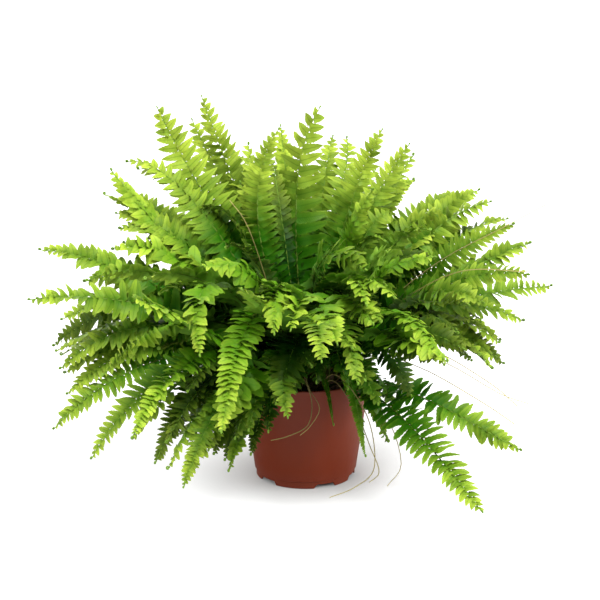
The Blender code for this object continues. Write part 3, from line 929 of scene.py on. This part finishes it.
class FERN_OT_grow_leaves(bpy.types.Operator):
    """Grow a full leaf over every frond solid"""

    bl_idname = "fern.grow_leaves"
    bl_label = "Grow Leaves"

    def execute(self, context):
        leaf = context.scene.fern_leaf
        templates = leaflet_templates()
        for number, node in enumerate(FRONDS, start=1):
            slot = SLOTS[node]
            tone = slot.replace("leaf_", "")
            bm = new_leaf_bmesh()
            grow_leaf(bm, frond_spine(node), leaf, templates, tone, seed=number)
            finish_piece(f"leaf_{number:02d}", bm, leaf_materials(leaf, tone), [node])
        return {"FINISHED"}


# Leaves that have no solid, each written as in drawn_spine: tip azimuth (degrees), reach, tip height,
# heights of the two handles, sideways bow, half width (mm), roll (degrees), tone.
Y, M, D = "young", "mature", "deep"
EXTRA_LEAVES = (
    # behind and above
    (165, 197, 332, 215, 348, 0, 24, -30, M), (167, 222, 297, 200, 280, 0, 20, 10, Y),
    (171, 204, 280, 200, 288, 8, 25, -40, M), (115, 68, 366, 210, 300, 60, 20, -30, M),
    (118, 105, 330, 210, 300, 12, 24, -10, M), (127, 104, 346, 215, 300, 10, 25, 0, M),
    (125, 150, 342, 210, 305, 0, 26, 10, M), (143, 234, 266, 200, 264, 0, 27, -20, M),
    (161, 190, 322, 215, 340, 10, 27, -15, M), (77, 136, 345, 230, 330, 0, 21, 5, M),
    (35, 207, 284, 200, 285, 0, 25, 20, M), (15, 226, 268, 195, 268, 0, 24, 30, M),
    (45, 172, 297, 210, 300, 0, 18, -20, Y), (132, 189, 363, 200, 300, 0, 24, -30, M),
    (140, 248, 262, 190, 255, 0, 24, -20, M), (174, 198, 266, 205, 284, 0, 25, -35, M),
    (-178, 202, 250, 200, 268, 0, 24, -30, Y), (145, 86, 310, 200, 270, 0, 20, -30, M),
    (120, 70, 330, 200, 280, 0, 20, 10, D), (-20, 74, 318, 220, 300, 0, 17, 60, Y),
    (0, 131, 240, 200, 255, 10, 22, 30, D),
    # left and right
    (-176, 264, 142, 190, 196, 0, 25, 10, M), (176, 236, 209, 195, 236, 10, 26, -30, M),
    (-175, 257, 178, 190, 214, 0, 25, -30, M), (-170, 258, 146, 188, 190, 0, 24, 10, M),
    (2, 232, 168, 190, 204, 0, 26, 30, M), (5, 205, 124, 180, 176, 0, 26, 35, M),
    (38, 150, 332, 210, 300, 0, 22, 10, M), (-10, 198, 128, 185, 188, 0, 24, 10, M),
    (-14, 185, 146, 190, 202, 0, 22, -10, D), (-171, 255, 125, 185, 178, 0, 24, -25, M),
    (11, 212, 119, 180, 165, 0, 22, 20, D), (0, 206, 146, 185, 195, 0, 24, -10, M),
    (156, 280, 138, 190, 190, 0, 22, -20, D), (-166, 255, 109, 185, 175, 0, 22, -20, M),
    (167, 262, 125, 185, 180, 0, 22, 10, D), (8, 212, 140, 190, 195, 0, 23, 20, M),
    (15, 198, 157, 190, 200, 0, 22, -20, D), (-17, 190, 205, 190, 235, 0, 24, 30, M),
    (-19, 165, 172, 190, 215, 0, 23, 10, D),
    # over the front
    (-58, 150, 276, 200, 262, 30, 27, 30, Y), (-30, 150, 258, 205, 262, -30, 23, 40, Y),
    (-128, 165, 262, 205, 268, 30, 25, -35, Y), (-150, 170, 222, 200, 240, -25, 24, 10, M),
    (-60, 120, 190, 180, 212, 0, 24, -15, D), (-14, 84, 262, 220, 285, 0, 17, -40, Y),
    (-66, 205, 246, 215, 275, 0, 26, -10, Y), (-59, 256, 193, 184, 206, 14, 27, 0, Y),
    (-129, 257, 250, 150, 214, -16, 28, -10, Y), (-115, 198, 111, 172, 172, 0, 28, 0, Y),
    (-72, 205, 222, 205, 250, 0, 26, 10, Y), (-107, 209, 258, 165, 222, 14, 27, 0, Y),
    (-94, 215, 222, 215, 265, 10, 25, -15, Y), (-83, 235, 214, 210, 255, -10, 25, 10, Y),
    (-67, 150, 262, 235, 300, -38, 27, 60, M), (-70, 205, 224, 210, 255, 0, 23, -20, M),
    (-148, 96, 262, 210, 275, 0, 22, 20, D),
    # low, around the pot's rim
    (-132, 204, 61, 170, 145, 0, 22, 15, M), (-141, 222, 88, 175, 160, 0, 23, 10, M),
    (-135, 196, 84, 175, 158, 0, 22, -10, D), (-128, 150, 64, 168, 138, 0, 19, 5, D),
    (-119, 146, 84, 170, 145, 0, 19, 0, M), (-127, 136, 54, 165, 132, 0, 16, 0, D),
    (-117, 122, 60, 160, 128, 0, 14, 0, D), (-51, 132, 72, 165, 138, 0, 19, -5, M),
    (-62, 152, 122, 175, 165, 0, 20, 5, M), (-125, 208, 53, 170, 130, 0, 20, -15, M),
    (-44, 115, 69, 160, 130, 0, 12, 10, Y), (-40, 128, 84, 165, 140, 6, 14, -10, M),
    (-130, 182, 137, 180, 190, 0, 24, 10, D), (-99, 188, 140, 190, 205, 15, 23, -10, D),
    (-86, 150, 150, 185, 200, 0, 22, 15, D), (-73, 140, 138, 185, 190, 0, 22, -10, M),
    (-112, 151, 97, 175, 170, 0, 20, 10, M), (-127, 162, 72, 165, 150, 0, 19, -10, M),
    (-121, 150, 50, 165, 135, 5, 16, 0, Y), (-106, 136, 92, 165, 150, -8, 17, 0, D),
    (-60, 138, 128, 175, 180, 0, 20, -20, M),
    # small, in front of the pot
    (-73, 96, 86, 150, 135, 0, 3.5, 0, Y),
    # behind, low
    (75, 190, 120, 180, 190, 0, 22, 0, D), (122, 195, 110, 180, 185, 0, 22, 10, M),
    (85, 160, 85, 175, 160, 0, 20, 0, M), (30, 215, 95, 180, 170, 0, 22, 10, M),
    (155, 210, 90, 180, 170, 0, 22, -10, M), (108, 165, 70, 170, 150, 0, 19, 5, D),
    (62, 180, 75, 175, 155, 0, 20, -5, D), (48, 205, 92, 175, 165, 0, 22, 10, M),
    (132, 205, 84, 175, 160, 0, 22, -10, M), (98, 200, 140, 185, 200, 0, 23, 5, M),
    (78, 175, 55, 170, 140, 0, 19, 0, Y), (55, 230, 170, 190, 225, 0, 24, 10, M),
    (125, 225, 165, 190, 225, 0, 24, -10, M), (90, 150, 330, 200, 300, 0, 24, 10, M),
    (65, 190, 300, 200, 290, 0, 23, -15, M),
)


def filling_leaves(count):
    """Shorter leaves that fill the heart of the plant, in the same form as the extra leaves."""
    rng = random.Random(77)
    rows = []
    for index in range(count):
        azimuth = (index * 137.5 + rng.uniform(-20, 20)) % 360
        tip = rng.uniform(110, 290 if azimuth < 180 else 235)
        if azimuth > 290:
            tip = max(tip, 175)
        limit = 270 * math.sqrt(max(1 - (max(tip - 160, 0) / 240) ** 2, 0.05))
        reach = limit * rng.uniform(0.4, 0.82)
        crest = max(tip, 150) + rng.uniform(-10, 40)
        # most filling leaves take the deep tone, as painted shade inside the plant
        tone = rng.choice(("deep", "deep", "deep", "mature"))
        rows.append((azimuth, reach, tip, rng.uniform(175, 215), crest, rng.uniform(-25, 25),
                     rng.uniform(17, 25), rng.uniform(-50, 50), tone))
    return rows


class FERN_OT_grow_extra_leaves(bpy.types.Operator):
    """Grow the leaves that have no solid of their own, and fill the heart of the plant"""

    bl_idname = "fern.grow_extra_leaves"
    bl_label = "Grow Extra Leaves"

    def execute(self, context):
        leaf = context.scene.fern_leaf
        templates = leaflet_templates()
        rows = list(EXTRA_LEAVES) + filling_leaves(leaf.inner_leaves)
        for number, row in enumerate(rows, start=1):
            bm = new_leaf_bmesh()
            grow_leaf(bm, drawn_spine(*row[:8]), leaf, templates, row[8], seed=500 + number)
            finish_piece(f"extra_leaf_{number:02d}", bm, leaf_materials(leaf, row[8]))
        return {"FINISHED"}


class FERN_OT_grow_runners(bpy.types.Operator):
    """Draw the wiry runners over their solids"""

    bl_idname = "fern.grow_runners"
    bl_label = "Grow Runners"

    def execute(self, context):
        runner = context.scene.fern_runner
        skin = stem_material("runner_skin", tuple(runner.skin), (0.16, 0.1, 0.05))
        for number, node in enumerate(STOLONS, start=1):
            places, _, rings = rings_of(node)
            points = [Vector(places[ring].mean(0)) for ring in rings]
            draw_runner(f"runner_{number}", points, runner.radius, skin, [node])
        for number, points in enumerate(EXTRA_RUNNERS, start=1):
            points = [Vector(point) * MM for point in points]
            draw_runner(f"extra_runner_{number}", points, runner.radius * EXTRA_RUNNER_SHARE, skin)
        return {"FINISHED"}


# Runners that have no solid: how thick they are beside the others, and the points that each passes (mm).
EXTRA_RUNNER_SHARE = 0.85
EXTRA_RUNNERS = (
    ((20, -4, 108), (84, -8, 190), (142, -12, 240), (200, -16, 273), (250, -20, 302)),
    ((-8, -20, 108), (-30, -44, 190), (-50, -60, 262), (-62, -70, 296), (-76, -80, 318)),
    ((0, -36, 108), (-2, -70, 134), (4, -88, 122), (14, -97, 105), (4, -104, 88), (-6, -108, 80)),
    ((30, -20, 108), (80, -50, 160), (140, -80, 150), (196, -98, 122), (226, -102, 112)),
    ((26, -30, 108), (50, -66, 132), (84, -92, 92), (98, -100, 46), (84, -96, 20)),
)


def draw_runner(name, points, radius, skin, replaced=()):
    """A smooth wiry runner through the points, thinner towards its end."""
    smooth = smoothed(points, 4)
    count = len(smooth)
    bm = new_leaf_bmesh()
    radii = [radius * (1 - 0.3 * index / count) for index in range(count)]
    add_tube(bm, smooth, radii, 6, [index / count for index in range(count)])
    finish_piece(name, bm, [skin], replaced)


CAMERA_PLACE = (-0.006, -1.75, 0.672)
CAMERA_DOWN = 15.3  # degrees below the horizontal
CAMERA_LENS = 102.6
# The suns: the setting that holds the strength, the direction they stand in and their width (degrees).
SUNS = (
    ("key", (0.5, -1.0, 2.0), 34),
    ("fill", (-1.5, -0.7, 0.5), 50),
    ("back", (-0.7, 1.6, 1.0), 60),
    ("side", (1.5, -0.35, 0.4), 40),
)


class FERN_OT_set_stage(bpy.types.Operator):
    """Set the pale floor, the soft lights and the camera"""

    bl_idname = "fern.set_stage"
    bl_label = "Set Stage"

    def execute(self, context):
        stage = context.scene.fern_stage
        scene = context.scene
        bm = bmesh.new()
        bmesh.ops.create_grid(bm, x_segments=1, y_segments=1, size=12)
        mesh = to_mesh(bm, "floor")
        floor = bpy.data.objects.new("floor", mesh)
        floor.location.z = -0.2 * MM
        material, shader = new_material("floor_paper", 0.9, specular_ior_level=0.0)
        nodes = Nodes(material.node_tree)
        shader.inputs["Base Color"].default_value = (*stage.floor, 1)
        shader.inputs["Emission Color"].default_value = (1, 1, 1, 1)
        # Only the camera sees the floor glow, and it glows less under and close to the pot, which paints the
        # pot's contact shadow.
        seen = nodes.put("ShaderNodeLightPath").outputs["Is Camera Ray"]
        away = nodes.put("ShaderNodeVectorMath", {0: nodes.spot()}, operation="LENGTH").outputs["Value"]
        glow = nodes.span(away, 0.055, 0.14, 0.33 * stage.glow, stage.glow)
        glow = nodes.maths("MULTIPLY", glow, nodes.span(away, 0.044, 0.055, 0.0, 1.0))
        nodes.feed(shader.inputs["Emission Strength"], nodes.maths("MULTIPLY", seen, glow))
        mesh.materials.append(material)
        scene.collection.objects.link(floor)
        world = bpy.data.worlds.new("surround")
        world.use_nodes = True
        nodes = Nodes(world.node_tree)
        seen = nodes.put("ShaderNodeLightPath").outputs["Is Camera Ray"]
        background = world.node_tree.nodes["Background"]
        background.inputs["Color"].default_value = (1, 1, 1, 1)
        nodes.feed(background.inputs["Strength"], nodes.span(seen, 0.0, 1.0, stage.sky, 1.0))
        scene.world = world
        scene.view_settings.view_transform = "Standard"
        for setting, direction, width in SUNS:
            add_sun(f"{setting}_light", direction, width, getattr(stage, setting))
        camera = bpy.data.objects.new("camera", bpy.data.cameras.new("camera"))
        camera.data.lens = CAMERA_LENS
        camera.data.sensor_width = 36
        camera.location = CAMERA_PLACE
        camera.rotation_euler = (math.radians(90 - CAMERA_DOWN), 0, 0)
        scene.collection.objects.link(camera)
        scene.camera = camera
        return {"FINISHED"}


def add_sun(name, direction, spread, strength):
    """A broad soft light that shines evenly from one direction."""
    light = bpy.data.lights.new(name, "SUN")
    light.angle = math.radians(spread)
    light.energy = strength
    lamp = bpy.data.objects.new(name, light)
    lamp.rotation_euler = Vector(direction).to_track_quat("Z", "Y").to_euler()
    bpy.context.scene.collection.objects.link(lamp)


class FERN_PT_panel(bpy.types.Panel):
    """Settings and steps of the potted fern"""

    bl_idname = "FERN_PT_panel"
    bl_label = "Potted Fern"
    bl_space_type = "VIEW_3D"
    bl_region_type = "UI"
    bl_category = "Fern"

    def draw(self, context):
        scene = context.scene
        for group in (scene.fern_pot, scene.fern_leaf, scene.fern_runner, scene.fern_stage):
            box = self.layout.box()
            for key in group.__annotations__:
                box.prop(group, key)
        for step in STEPS:
            self.layout.operator(step.bl_idname)


SETTINGS = {
    "fern_pot": FernPotSettings,
    "fern_leaf": FernLeafSettings,
    "fern_runner": FernRunnerSettings,
    "fern_stage": FernStageSettings,
}
STEPS = (
    FERN_OT_set_stage,
    FERN_OT_add_pot,
    FERN_OT_add_compost,
    FERN_OT_add_crown,
    FERN_OT_grow_leaves,
    FERN_OT_grow_extra_leaves,
    FERN_OT_grow_runners,
)


def register():
    for name, group in SETTINGS.items():
        bpy.utils.register_class(group)
        setattr(bpy.types.Scene, name, PointerProperty(type=group))
    for step in STEPS:
        bpy.utils.register_class(step)
    bpy.utils.register_class(FERN_PT_panel)


def unregister():
    bpy.utils.unregister_class(FERN_PT_panel)
    for step in reversed(STEPS):
        bpy.utils.unregister_class(step)
    for name, group in SETTINGS.items():
        delattr(bpy.types.Scene, name)
        bpy.utils.unregister_class(group)


def main():
    register()
    for step in STEPS:
        family, name = step.bl_idname.split(".")
        getattr(getattr(bpy.ops, family), name)()


if __name__ == "__main__":
    main()
